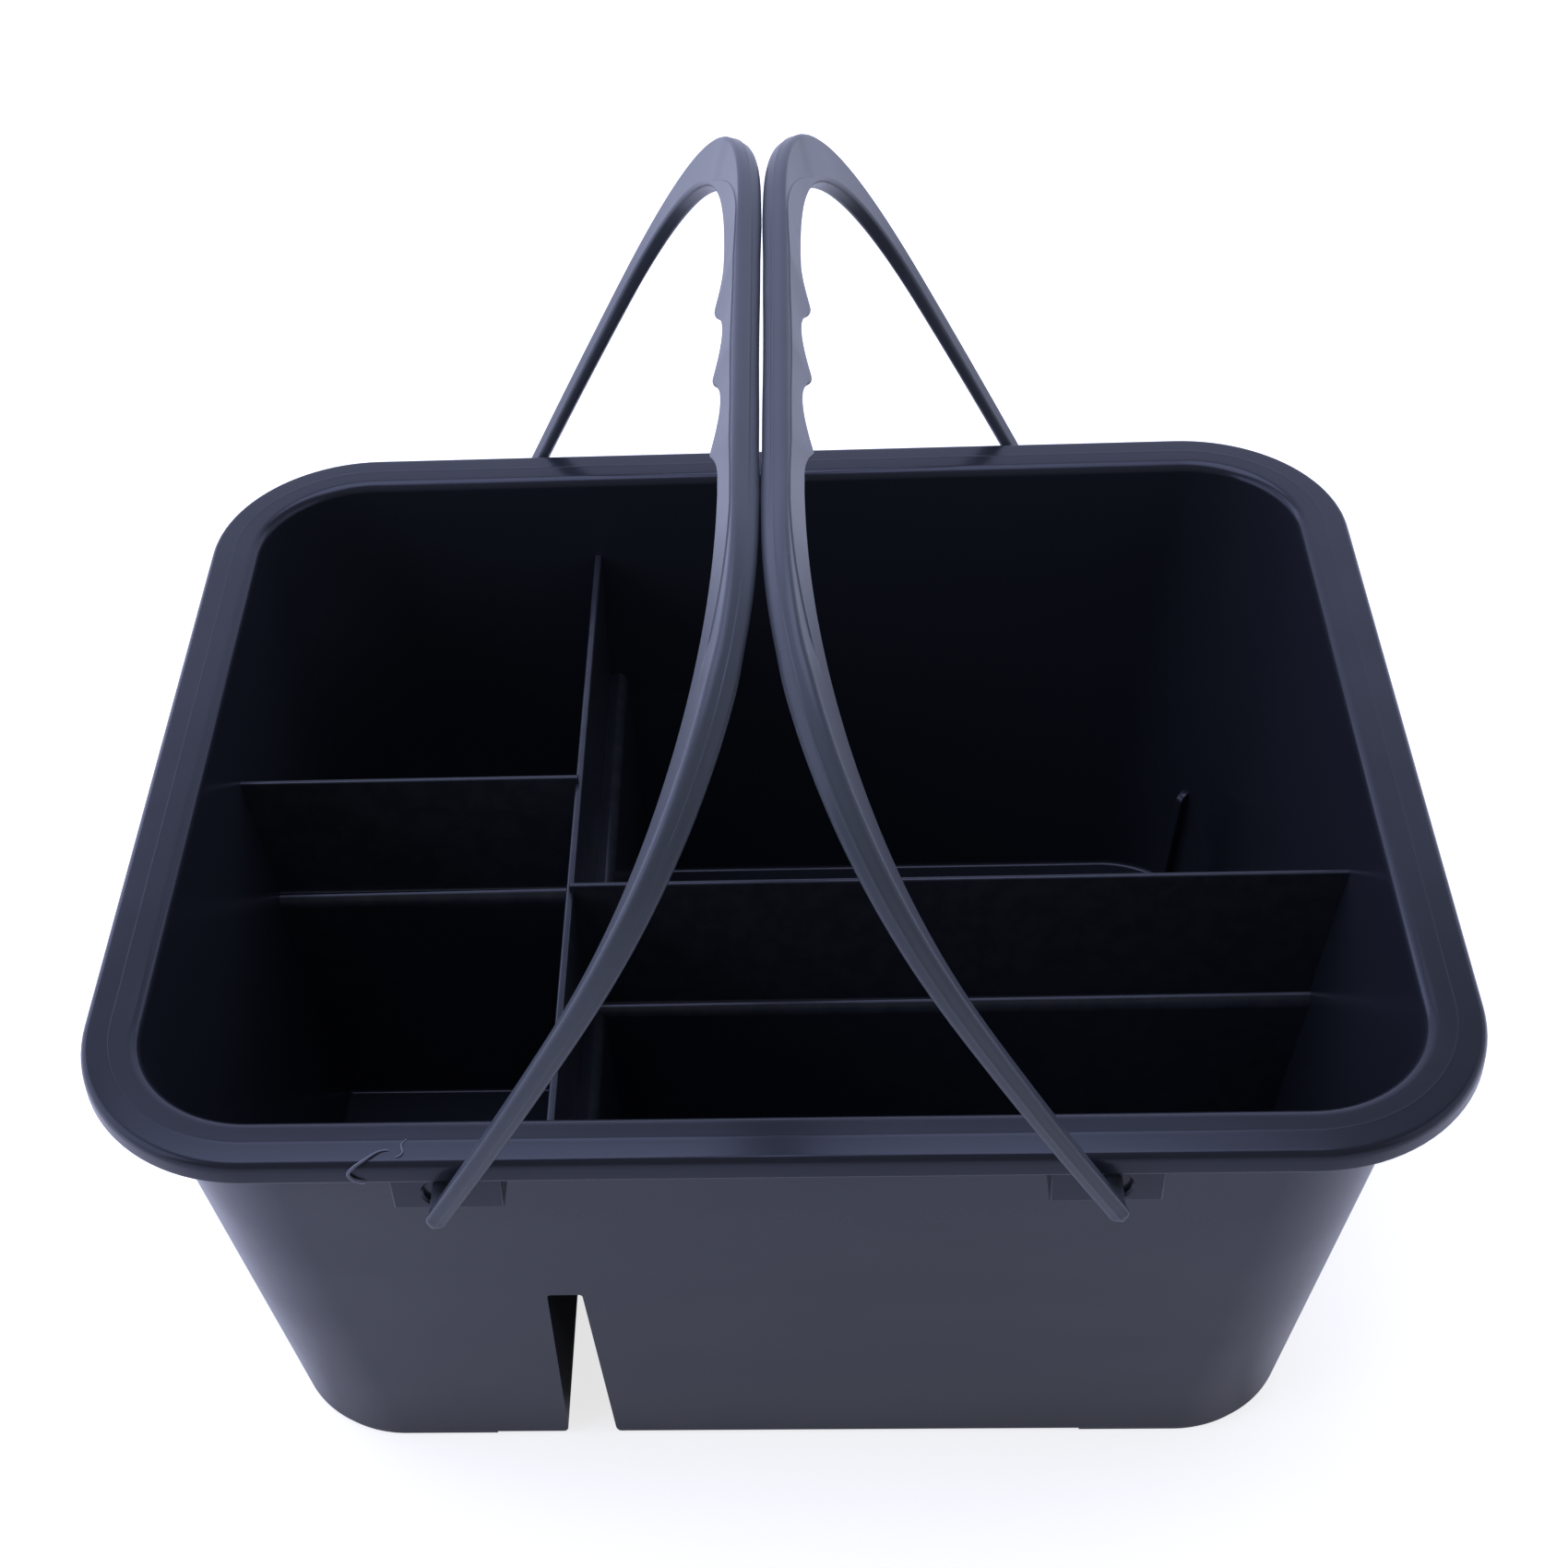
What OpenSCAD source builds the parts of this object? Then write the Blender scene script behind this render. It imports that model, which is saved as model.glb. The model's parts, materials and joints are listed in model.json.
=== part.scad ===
// Cleaning caddy: a moulded tub with four compartments and two folding carrying handles.
// Millimetres, Z up. The origin is the middle of the ground area under the tub.
// X runs across the width, Y from the front (minus) to the rear (plus).

/* [Overall] */
// Width across the rim
rim_w = 324; // [270:1:400]
// Depth across the rim
rim_d = 271; // [226:1:330]
// Height from the ground to the top of the rim
height = 150; // [125:1:190]

/* [Tub shell] */
// Thickness of the walls, the floor, the rim and the sides of the hollow divider bases
wall = 2; // [1.6:0.1:2.6]
// Inward lean of the outer walls towards the base, in degrees
draft = 4.85; // [2:0.05:6]
// Outer corner radius of the tub at its base
base_corner_r = 32; // [24:1:38]
// Radius between the floor and the walls, inside
floor_fillet = 1.5; // [1:0.5:5]
// Inset of the tub's bottom edge, which is broken by a small chamfer
bottom_chamfer = 1; // [0.4:0.1:2]

/* [Feet] */
// Height of the feet
foot_h = 1.5; // [1:0.1:3]
// Width of a foot, from the outside of the tub inwards
foot_w = 9; // [6:0.5:14]
// Length of the bare front edge between two feet
foot_gap_front = 157; // [110:1:180]
// Length of the bare side edge between two feet
foot_gap_side = 104; // [80:1:140]

/* [Rolled rim] */
// Outer corner radius of the rim
rim_corner_r = 44; // [38:1:52]
// Distance from the outer edge of the rim to the outside of the wall
rim_overhang = 14; // [12:0.5:18]
// Depth of the skirt, from the top of the rim
skirt_h = 6.5; // [5:0.5:9]
// Rounding of the outer top edge of the rim
rim_edge_r = 2.2; // [2:0.1:4]
// Rounding of the mouth, where the rim turns down into the wall
mouth_r = 4; // [3:0.1:6]

/* [Corner ribs] */
// Height of the top of the ribs in the tub's inside corners
rib_top = 39.5; // [20:0.5:60]
// Distance that a rib stands out from the wall
rib_depth = 3.5; // [2:0.1:5]
// Thickness of a rib
rib_t = 1.8; // [1.2:0.1:2.5]

/* [Dividers] */
// Place of the centre divider, measured from the middle of the tub
centre_x = -53.4; // [-70:0.1:-35]
// Place of the divider between the two left compartments
left_y = 17.4; // [-30:0.1:40]
// Place of the divider between the two right compartments
right_y = -24.4; // [-40:0.1:30]
// Height of the top edge of the centre web
centre_web_top = 124.4; // [100:0.1:132]
// Height of the top edge of the two cross webs
cross_web_top = 126.6; // [100:0.1:132]
// Thickness of the centre web
centre_web_t = 2; // [1.5:0.1:3]
// Thickness of the two cross webs
cross_web_t = 1.5; // [1.2:0.1:2.5]
// Height of the hollow base under the centre web
centre_base_top = 81; // [60:1:90]
// Height of the hollow base under the left web
left_base_top = 85; // [60:1:92]
// Height of the hollow base under the right web
right_base_top = 82; // [60:1:92]
// Width of the left base at its shoulders
left_base_w = 9.4; // [8:0.1:14]
// Width of the right base at its shoulders
right_base_w = 8.2; // [7.5:0.1:14]
// Thickness of the roofs of the hollow bases
base_roof = 3; // [2:0.1:4]
// Rounding of the shoulders of the hollow bases
shoulder_r = 2.4; // [1.5:0.1:2.6]
// Spread of a cross divider's base at the ground, on each side
cross_flare = 1; // [0:0.1:2]

/* [Centre slot] */
// Width of the slot at its top
slot_w = 8.7; // [7.5:0.1:12]
// Height of the slot in the front and rear walls
slot_h = 73.6; // [50:0.1:76]
// Spread of the slot's left side at the ground
slot_flare_left = 1.1; // [0:0.1:4]
// Spread of the slot's right side at the ground
slot_flare_right = 3.4; // [0:0.1:5]
// Rounding of the slot's edges at the tub's bottom
slot_edge_r = 3; // [1:0.1:4]

/* [Handle pivots] */
// Distance of each pivot from the rim's left or right edge
pivot_inset = 87.4; // [75:0.1:100]
// Depth of the pivots below the top of the rim
pivot_drop = 12.7; // [11:0.1:16]
// Radius of a pivot peg
peg_r = 2.2; // [1.8:0.1:2.4]
// Radial running clearance of a peg in its bore
peg_clearance = 0.08; // [0.03:0.01:0.1]
// Length of the peg behind the pad's face plate
peg_nose = 1; // [0.5:0.1:2]
// Radius of the bore's countersunk mouth
bore_mouth_r = 3.1; // [2.7:0.1:3.5]
// Width of a pivot pad
pad_w = 25; // [20:0.5:32]
// Distance from the pivot to the bottom of its pad
pad_below = 5.2; // [4.5:0.1:8]
// Distance of the pad's middle from the pivot, towards the middle of the tub
pad_shift = 1.2; // [0:0.1:4]
// Thickness of the pad's face plate
pad_face_t = 3; // [2:0.1:4]
// Gap between a handle leg and the skirt of the rim
leg_gap = 0.8; // [0.4:0.1:2]

/* [Handles] */
// Distance from the pivots to the outside of the grip
handle_reach = 151.5; // [130:0.5:175]
// Gap between the corner lines of the two grips when they lean together
grip_gap = 0.2; // [0:0.1:3]
// Height of the straight part of the legs, above the pivots
leg_h = 62; // [50:1:80]
// Length of a leg below its pivot
leg_tip = 6; // [5:0.1:9]
// Width of a leg at its pivot, in the plane of the handle
leg_w = 5.2; // [4.5:0.1:8]
// Outward bulge of the legs above the pivots, on each side
leg_bulge = 3.1; // [0:0.1:6]
// Thickness of a leg at its pivot
leg_t = 4.8; // [4.8:0.1:7]
// Thickness of the grip
grip_t = 7.2; // [6:0.1:10]
// Width of the grip at the bottom of a finger groove
grip_w = 9.4; // [7:0.1:13]
// Depth of the finger grooves
groove_depth = 4.3; // [1:0.1:5]
// Distance from one finger ridge to the next
groove_pitch = 28.5; // [22:0.5:32]
// Half length of the straight outer edge of the grip
grip_run = 58; // [48:1:66]
// Squareness of the hand opening's corners, where 2 is an ellipse
opening_square = 2.3; // [2:0.05:3]
// Height of the parting ridge along the outer edge
ridge = 0.8; // [0.2:0.1:1.2]
// Rounding of the handle's long edges
handle_edge_r = 1.1; // [0.6:0.1:1.4]

/* [Hidden] */
$fn = 64;

tub_colour = [0.13, 0.16, 0.22];
handle_colour = [0.22, 0.26, 0.33];

// Longer than the tub, for shapes and cuts that run right through
far = 2 * rim_w;
floor_z = foot_h + wall;
rim_under = height - wall;
// The rim's mouth ends here, and the wall begins
mouth_z = height - mouth_r;
skirt_bottom = height - skirt_h;
pivot_x = rim_w / 2 - pivot_inset;
pivot_z = height - pivot_drop;

// ---- tub shell ----

// Segments in each quarter of a corner
corner_steps = 10;

// Distance from the rim's outer edge to the outside of the wall, at height z
function wall_inset(z) = rim_overhang + (height - z) * tan(draft);
// Outer corner radius of the wall at height z, which meets the rim's at the mouth
function wall_corner(z) =
    let (top_r = rim_corner_r - wall_inset(mouth_z))
    base_corner_r + (top_r - base_corner_r) * (z - foot_h) / (mouth_z - foot_h);

// A rounded rectangle as a ring of points at height z, moved in from the wall by inset
function wall_ring(z, inset) =
    let (half_w = rim_w / 2 - wall_inset(z) - inset)
    let (half_d = rim_d / 2 - wall_inset(z) - inset)
    let (r = wall_corner(z) - inset)
    [for (q = [0 : 3], i = [0 : corner_steps])
        let (a = 90 * (q + i / corner_steps))
        let (sx = (q == 0 || q == 3) ? 1 : -1)
        let (sy = (q < 2) ? 1 : -1)
        [sx * (half_w - r) + r * cos(a), sy * (half_d - r) + r * sin(a), z]];

// Height and extra inset of the steps that round the floor into the walls, going up
floor_steps = [for (a = [90, 45, 0])
    [floor_z + floor_fillet * (1 - sin(a)), floor_fillet * (1 - cos(a))]];

// Solid through a row of closed rings that all have the same number of points
module loft(rings) {
    n = len(rings[0]);
    last = len(rings) - 1;
    points = [for (ring = rings, p = ring) p];
    sides = [for (k = [0 : last - 1], i = [0 : n - 1])
        let (j = (i + 1) % n)
        each [[k * n + i, (k + 1) * n + i, k * n + j],
              [k * n + j, (k + 1) * n + i, (k + 1) * n + j]]];
    first_cap = [for (i = [0 : n - 1]) i];
    last_cap = [for (i = [n - 1 : -1 : 0]) last * n + i];
    polyhedron(points, concat(sides, [first_cap, last_cap]), convexity = 6);
}

// The room inside the tub
module room() {
    loft(concat([for (s = floor_steps) wall_ring(s[0], wall + s[1])], [wall_ring(height, wall)]));
}

module tub_shell() {
    color(tub_colour)
    difference() {
        loft([wall_ring(foot_h, bottom_chamfer),
              wall_ring(foot_h + bottom_chamfer, 0),
              wall_ring(mouth_z, 0)]);
        room();
        centre_space(slot_h);
        left_space();
        right_space();
    }
}

// ---- shapes shared by the dividers ----

// Side view of the room inside the tub, for half its width or half its depth,
// with the part on the floor carried on down to the height bottom
module room_2d(half, bottom) {
    first = half - wall_inset(floor_z) - wall - floor_fillet;
    down = (bottom < floor_z) ? [[first, bottom]] : [];
    steps = [for (s = floor_steps) [half - wall_inset(s[0]) - wall - s[1], s[0]]];
    side = concat(down, steps, [[half - wall_inset(mouth_z) - wall, mouth_z]]);
    other = [for (i = [len(side) - 1 : -1 : 0]) [-side[i][0], side[i][1]]];
    polygon(concat(side, other));
}

// Carries a shape drawn in X and Z along the whole depth
module along_depth() {
    rotate([90, 0, 0]) linear_extrude(far, center = true) children();
}

// Carries a shape drawn in Y and Z along the whole width
module along_width() {
    rotate([90, 0, 90]) linear_extrude(far, center = true) children();
}

// Everything between two places across the width
module between(x_from, x_to) {
    translate([x_from, -far / 2, -height]) cube([x_to - x_from, far, 3 * height]);
}

// Points of an arc around c, from one angle to another
function arc(c, r, from, to) =
    let (steps = 5)
    [for (i = [0 : steps])
        let (a = from + (to - from) * i / steps)
        [c[0] + r * cos(a), c[1] + r * sin(a)]];

// Upright shape on the ground with leaning sides and two round top corners.
// left and right are its sides at the top, and each spreads by its flare down to the ground.
module leaning_arch(left, right, flare_left, flare_right, top, r) {
    lean_left = atan(flare_left / top);
    lean_right = atan(flare_right / top);
    arc_left = left - flare_left * r / top + r / cos(lean_left);
    arc_right = right + flare_right * r / top - r / cos(lean_right);
    polygon(concat([[left - flare_left, 0]],
                   arc([arc_left, top - r], r, 180 - lean_left, 90),
                   arc([arc_right, top - r], r, 90, lean_right),
                   [[right + flare_right, 0]]));
}

// ---- centre divider ----

// Radius of the top corners inside the hollow bases
inner_shoulder_r = 1;

// Left and right side of the centre slot at height z
function slot_left(z) = centre_x - slot_w / 2 - slot_flare_left * (1 - z / slot_h);
function slot_right(z) = centre_x + slot_w / 2 + slot_flare_right * (1 - z / slot_h);

// Outline around the centre slot, grown sideways, up to the height top
module centre_outline(grow, top, r) {
    leaning_arch(slot_left(top) - grow, slot_right(top) + grow,
                 slot_left(top) - slot_left(0), slot_right(0) - slot_right(top), top, r);
}

// Open space under the centre divider, up to the height top. Its sides are rounded outwards
// where they leave the tub's bottom.
module centre_space(top) {
    lean_left = atan(slot_flare_left / slot_h);
    lean_right = atan(slot_flare_right / slot_h);
    edge_z = foot_h + slot_edge_r;
    edge_left = slot_left(edge_z) - slot_edge_r / cos(lean_left);
    edge_right = slot_right(edge_z) + slot_edge_r / cos(lean_right);
    along_depth() {
        centre_outline(0, top, inner_shoulder_r);
        polygon(concat([[edge_left, 0]],
                       arc([edge_left, edge_z], slot_edge_r, -90, -lean_left),
                       arc([edge_right, edge_z], slot_edge_r, 180 + lean_right, 270),
                       [[edge_right, 0]]));
    }
}

module centre_base() {
    color(tub_colour)
    intersection() {
        difference() {
            along_depth() centre_outline(wall, centre_base_top, shoulder_r);
            centre_space(centre_base_top - base_roof);
        }
        along_width() room_2d(rim_d / 2, floor_z);
    }
}

module centre_web() {
    color(tub_colour)
    intersection() {
        translate([centre_x - centre_web_t / 2, -far / 2, centre_base_top])
            cube([centre_web_t, far, centre_web_top - centre_base_top]);
        along_width() room_2d(rim_d / 2, floor_z);
    }
}

// ---- cross dividers ----

// Faces of the centre web
web_left = centre_x - centre_web_t / 2;
web_right = centre_x + centre_web_t / 2;

// Open space inside a cross divider's base, between two places across the width
module cross_space(at, w, top, x_from, x_to) {
    inner = w / 2 - wall;
    room = top - base_roof;
    flare = cross_flare * room / top;
    intersection() {
        along_width()
            leaning_arch(at - inner, at + inner, flare, flare, room, inner_shoulder_r);
        along_depth() room_2d(rim_w / 2, 0);
        between(x_from, x_to);
    }
}

// The spaces stop short of the walls of the centre divider's base
module left_space() {
    cross_space(left_y, left_base_w, left_base_top, -rim_w, slot_left(0) - wall);
}

module right_space() {
    cross_space(right_y, right_base_w, right_base_top, slot_right(0) + wall, rim_w);
}

// Hollow base of a cross divider; its space is given as a child
module cross_base(at, w, top, x_from, x_to) {
    color(tub_colour)
    intersection() {
        difference() {
            along_width()
                leaning_arch(at - w / 2, at + w / 2, cross_flare, cross_flare, top, shoulder_r);
            along_depth() centre_outline(wall, centre_base_top, shoulder_r);
            children();
        }
        along_depth() room_2d(rim_w / 2, floor_z);
        between(x_from, x_to);
    }
}

module left_base() {
    cross_base(left_y, left_base_w, left_base_top, -rim_w, web_left) left_space();
}

module right_base() {
    cross_base(right_y, right_base_w, right_base_top, web_right, rim_w) right_space();
}

// Thin web on top of a cross divider's base
module cross_web(at, bottom, x_from, x_to) {
    color(tub_colour)
    intersection() {
        translate([-far / 2, at - cross_web_t / 2, bottom])
            cube([far, cross_web_t, cross_web_top - bottom]);
        along_depth() room_2d(rim_w / 2, floor_z);
        between(x_from, x_to);
    }
}

module left_web() {
    cross_web(left_y, left_base_top, -rim_w, web_left);
}

module right_web() {
    cross_web(right_y, right_base_top, web_right, rim_w);
}

// ---- rim ----

// Half lengths of the rim's straight sides, across the width and the depth
run_w = rim_w / 2 - rim_corner_r;
run_d = rim_d / 2 - rim_corner_r;

// Section of the rim; X is the distance inwards from its outer edge, Y the height.
// It is one thickness all the way, from the skirt over the top and down into the wall.
module rim_section() {
    edge_centre = [rim_edge_r, height - rim_edge_r];
    mouth_centre = [wall_inset(mouth_z) + wall - mouth_r, mouth_z];
    polygon(concat([[0, skirt_bottom]],
                   arc(edge_centre, rim_edge_r, 180, 90),
                   arc(mouth_centre, mouth_r, 90, 0),
                   arc(mouth_centre, mouth_r - wall, 0, 90),
                   [[wall, rim_under], [wall, skirt_bottom]]));
}

// A straight side of the rim, half of its length on each side of the middle
module rim_side(half_run, out) {
    rotate([90, 0, 0])
        linear_extrude(2 * half_run, center = true)
            translate([out, 0]) mirror([1, 0]) rim_section();
}

module front_rim_side() {
    rotate([0, 0, 270]) rim_side(run_w, rim_d / 2);
}

module rim() {
    color(tub_colour)
    union() {
        rim_side(run_d, rim_w / 2);
        rotate([0, 0, 90]) rim_side(run_w, rim_d / 2);
        rotate([0, 0, 180]) rim_side(run_d, rim_w / 2);
        front_rim_side();
        for (q = [0 : 3])
            translate([((q == 0 || q == 3) ? 1 : -1) * run_w, ((q < 2) ? 1 : -1) * run_d, 0])
                rotate([0, 0, 90 * q]) rotate_extrude(angle = 90)
                    translate([rim_corner_r, 0]) mirror([1, 0]) rim_section();
    }
}

// ---- pivot pads ----

// Distance of a pad's front face from the middle of the tub, against the skirt's inside
pad_face = rim_d / 2 - wall;
bore_r = peg_r + peg_clearance;

// Pad of the front right pivot: a face plate with the bore, and two cheeks to the wall
module pad() {
    left = pivot_x - pad_shift - pad_w / 2;
    bottom = pivot_z - pad_below;
    tall = rim_under - bottom;
    difference() {
        translate([left, -pad_face, bottom]) cube([pad_w, rim_overhang, tall]);
        translate([left + wall, pad_face_t - pad_face, bottom - wall])
            cube([pad_w - 2 * wall, 2 * rim_overhang, tall + 2 * wall]);
        along_width() wall_outside_2d();
        front_rim_side();
        translate([pivot_x, -pad_face - wall, pivot_z])
            rotate([-90, 0, 0]) cylinder(h = 2 * wall + pad_face_t, r = bore_r);
        translate([pivot_x, -pad_face, pivot_z])
            rotate([-90, 0, 0])
                cylinder(h = bore_mouth_r - bore_r, r1 = bore_mouth_r, r2 = bore_r);
    }
}

// Side view of the whole tub without its rim, from the front to the rear
module wall_outside_2d() {
    low = rim_d / 2 - wall_inset(0);
    high = rim_d / 2 - wall_inset(height);
    polygon([[-low, 0], [-high, height], [high, height], [low, 0]]);
}

module pad_front_right() {
    color(tub_colour) pad();
}

module pad_front_left() {
    color(tub_colour) mirror([1, 0, 0]) pad();
}

module pad_rear_right() {
    color(tub_colour) mirror([0, 1, 0]) pad();
}

module pad_rear_left() {
    color(tub_colour) rotate([0, 0, 180]) pad();
}

// ---- corner ribs ----

// Distance to the inside of the wall at height z, along a corner's diagonal, from the point
// where the rim's straight edges would cross
function diagonal_inset(z) =
    sqrt(2) * (wall_inset(z) + wall) + (wall_corner(z) - wall) * (sqrt(2) - 1);

// Rib of the rear right corner: an upright plate in the corner's diagonal plane, whose inner
// edge follows the wall and whose top is rounded
module rib() {
    foot_u = -diagonal_inset(floor_z) - rib_depth;
    top_u = -diagonal_inset(rib_top - rib_depth) - rib_depth;
    intersection() {
        room();
        translate([rim_w / 2, rim_d / 2, 0]) rotate([90, 0, 45])
            linear_extrude(rib_t, center = true)
                polygon(concat([[0, floor_z], [foot_u, floor_z]],
                               arc([top_u + rib_depth, rib_top - rib_depth],
                                   rib_depth, 180, 90),
                               [[0, rib_top]]));
    }
}

module rib_rear_right() {
    color(tub_colour) rib();
}

module rib_rear_left() {
    color(tub_colour) mirror([1, 0, 0]) rib();
}

module rib_front_right() {
    color(tub_colour) mirror([0, 1, 0]) rib();
}

module rib_front_left() {
    color(tub_colour) rotate([0, 0, 180]) rib();
}

// ---- feet ----

// Rounded rectangle in the plane, with true arcs at its corners
module round_rect(w, d, r) {
    square([w - 2 * r, d], center = true);
    square([w, d - 2 * r], center = true);
    for (sx = [-1, 1], sy = [-1, 1])
        translate([sx * (w / 2 - r), sy * (d / 2 - r)]) circle(r);
}

// Foot of the rear right corner, flush with the flat of the bottom
module foot() {
    inset = wall_inset(foot_h) + bottom_chamfer;
    w = rim_w - 2 * inset;
    d = rim_d - 2 * inset;
    r = base_corner_r - bottom_chamfer;
    linear_extrude(foot_h)
        intersection() {
            difference() {
                round_rect(w, d, r);
                round_rect(w - 2 * foot_w, d - 2 * foot_w, r - foot_w);
            }
            translate([foot_gap_front / 2, foot_gap_side / 2]) square([w, d]);
        }
}

module foot_rear_right() {
    color(tub_colour) foot();
}

module foot_rear_left() {
    color(tub_colour) mirror([1, 0, 0]) foot();
}

module foot_front_right() {
    color(tub_colour) mirror([0, 1, 0]) foot();
}

module foot_front_left() {
    color(tub_colour) rotate([0, 0, 180]) foot();
}

// ---- handles ----

// Inside of a leg at its pivot, measured from the middle of the depth
leg_side = rim_d / 2 + leg_gap;
// Lower edge of the grip, in the bottom of a finger groove
grip_inside = handle_reach - grip_w;
// Share of the outward bulge that the inside of the leg follows
inner_bulge = 0.7;
// Half length of the grooved part
groove_run = 1.5 * groove_pitch;
// Stations along the grooved half of the grip, the arch and the straight leg
grip_steps = 12;
arch_steps = 14;
leg_steps = 5;
// An edge's rounding takes at most this share of half the thickness
edge_share = 0.8;
// Half width of the flat on top of the parting ridge
ridge_flat = 0.35;

// Distance of the leg's inside and outside from the middle, at height v above the pivot
function bulge_at(v) = 1 - pow((leg_h - max(v, 0)) / leg_h, 2);
function leg_inside(v) = leg_side + inner_bulge * leg_bulge * bulge_at(v);
function leg_outside(v) = leg_side + leg_w + leg_bulge * bulge_at(v);
// Lower edge of the grip at the distance u from its middle, with three finger ridges
function grip_lower(u) =
    let (k = max(-1, min(1, round(u / groove_pitch))))
    let (t = min(1, abs(u - k * groove_pitch) / (groove_pitch / 2)))
    grip_inside - groove_depth * pow(1 - t, 2);
// Thickness of the handle at height v
function thick_at(v) = leg_t + (grip_t - leg_t) * max(0, min(1, v / handle_reach));

// Stations along the rear half of the handle, from the middle of the grip to the end of the
// leg. Each is [inside point, outside point, thickness].
grip_stations = [for (i = [0 : grip_steps])
    let (f = i / grip_steps)
    [[f * groove_run, grip_lower(f * groove_run)], [f * grip_run, handle_reach], grip_t]];
arch_stations = [for (i = [1 : arch_steps])
    let (a = 90 * (1 - i / arch_steps))
    let (out_u = grip_run + (leg_outside(leg_h) - grip_run) * cos(a))
    let (out_v = leg_h + (handle_reach - leg_h) * sin(a))
    let (power = 2 / opening_square)
    let (in_u = groove_run + (leg_inside(leg_h) - groove_run) * pow(cos(a), power))
    let (in_v = leg_h + (grip_inside - leg_h) * pow(sin(a), power))
    [[in_u, in_v], [out_u, out_v], thick_at(in_v)]];
leg_stations = [for (i = [leg_steps - 1 : -1 : 0])
    let (v = leg_h * i / leg_steps)
    [[leg_inside(v), v], [leg_outside(v), v], thick_at(v)]];
// The end of the leg is rounded in its thickness, from angle 0 where the rounding starts
tip_stations = [for (a = [0, 30, 55, 75])
    let (v = -leg_tip + leg_t / 2 * (1 - sin(a)))
    [[leg_side, v], [leg_side + leg_w, v], leg_t * cos(a)]];
half_stations = concat(grip_stations, arch_stations, leg_stations, tip_stations);
other_half = [for (i = [len(half_stations) - 1 : -1 : 1])
    let (s = half_stations[i])
    [[-s[0][0], s[0][1]], [-s[1][0], s[1][1]], s[2]]];
stations = concat(other_half, half_stations);

// Closed ring of points around one station: rounded long edges, and a parting ridge
// in the middle of the outer side
function handle_ring(s) =
    let (w = norm(s[1] - s[0]))
    let (along = (s[1] - s[0]) / w)
    let (h = s[2] / 2)
    let (e = min(handle_edge_r, edge_share * h))
    let (c = e * (1 - cos(45)))
    let (face = w - ridge)
    let (half = [[e, h], [c, h - c], [0, h - e]])
    let (outer = [[face - e, h], [face - c, h - c], [face, h - e], [w, ridge_flat]])
    let (ring = concat(half, [for (i = [2 : -1 : 0]) [half[i][0], -half[i][1]]],
                       [for (p = outer) [p[0], -p[1]]],
                       [for (i = [3 : -1 : 0]) outer[i]]))
    [for (p = ring) [p[1], s[0][0] + along[0] * p[0], s[0][1] + along[1] * p[0]]];

// Angle between an upright handle and one that leans on the other
grip_edge = handle_reach - ridge;
lean = asin((pivot_x - grip_gap / 2) / norm([grip_edge, grip_t / 2]))
    - atan(grip_t / 2 / grip_edge);

// Peg of the front leg, from inside the leg through the pad's face plate
module peg() {
    start = leg_side + leg_w / 2;
    end = pad_face - pad_face_t - peg_nose;
    chamfer = peg_nose / 2;
    translate([0, -start, 0]) rotate([-90, 0, 0]) {
        cylinder(h = start - end - chamfer, r = peg_r);
        translate([0, 0, start - end - chamfer])
            cylinder(h = chamfer, r1 = peg_r, r2 = peg_r - chamfer);
    }
}

// A handle standing upright over its pivots
module handle() {
    loft([for (s = stations) handle_ring(s)]);
    peg();
    mirror([0, 1, 0]) peg();
}

module left_handle() {
    color(handle_colour)
        translate([-pivot_x, 0, pivot_z]) rotate([0, lean, 0]) handle();
}

module right_handle() {
    color(handle_colour)
        translate([pivot_x, 0, pivot_z]) rotate([0, -lean, 0]) handle();
}

tub_shell();
rim();
centre_base();
centre_web();
left_base();
left_web();
right_base();
right_web();
pad_front_left();
pad_front_right();
pad_rear_left();
pad_rear_right();
rib_front_left();
rib_front_right();
rib_rear_left();
rib_rear_right();
foot_front_left();
foot_front_right();
foot_rear_left();
foot_rear_right();
left_handle();
right_handle();
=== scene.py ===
import json
import math

import bmesh
import bpy
from mathutils import Matrix, Vector


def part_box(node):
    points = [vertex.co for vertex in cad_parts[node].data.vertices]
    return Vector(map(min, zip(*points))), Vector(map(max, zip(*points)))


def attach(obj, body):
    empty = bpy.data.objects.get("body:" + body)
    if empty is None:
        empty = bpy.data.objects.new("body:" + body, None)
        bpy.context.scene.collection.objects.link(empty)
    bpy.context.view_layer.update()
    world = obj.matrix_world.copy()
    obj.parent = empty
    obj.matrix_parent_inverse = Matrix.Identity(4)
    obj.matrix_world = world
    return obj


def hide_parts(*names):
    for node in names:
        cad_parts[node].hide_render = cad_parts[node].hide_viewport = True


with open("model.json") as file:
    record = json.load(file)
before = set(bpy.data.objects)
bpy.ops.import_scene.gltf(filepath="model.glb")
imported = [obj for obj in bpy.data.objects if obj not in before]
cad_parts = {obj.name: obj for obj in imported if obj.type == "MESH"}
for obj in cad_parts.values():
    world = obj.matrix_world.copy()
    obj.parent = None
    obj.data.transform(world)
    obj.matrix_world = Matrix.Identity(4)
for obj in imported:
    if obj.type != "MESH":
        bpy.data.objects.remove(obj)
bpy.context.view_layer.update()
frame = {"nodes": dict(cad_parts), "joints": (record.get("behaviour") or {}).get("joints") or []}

MM = 0.001
# Points no further apart than this, in millimetres, count as one place
NEAR = 0.01


def node_box(node):
    """Lowest and highest corner of a CAD node, in millimetres."""
    low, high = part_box(node)
    return low / MM, high / MM


# ---- sizes of the caddy, millimetres ----

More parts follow.
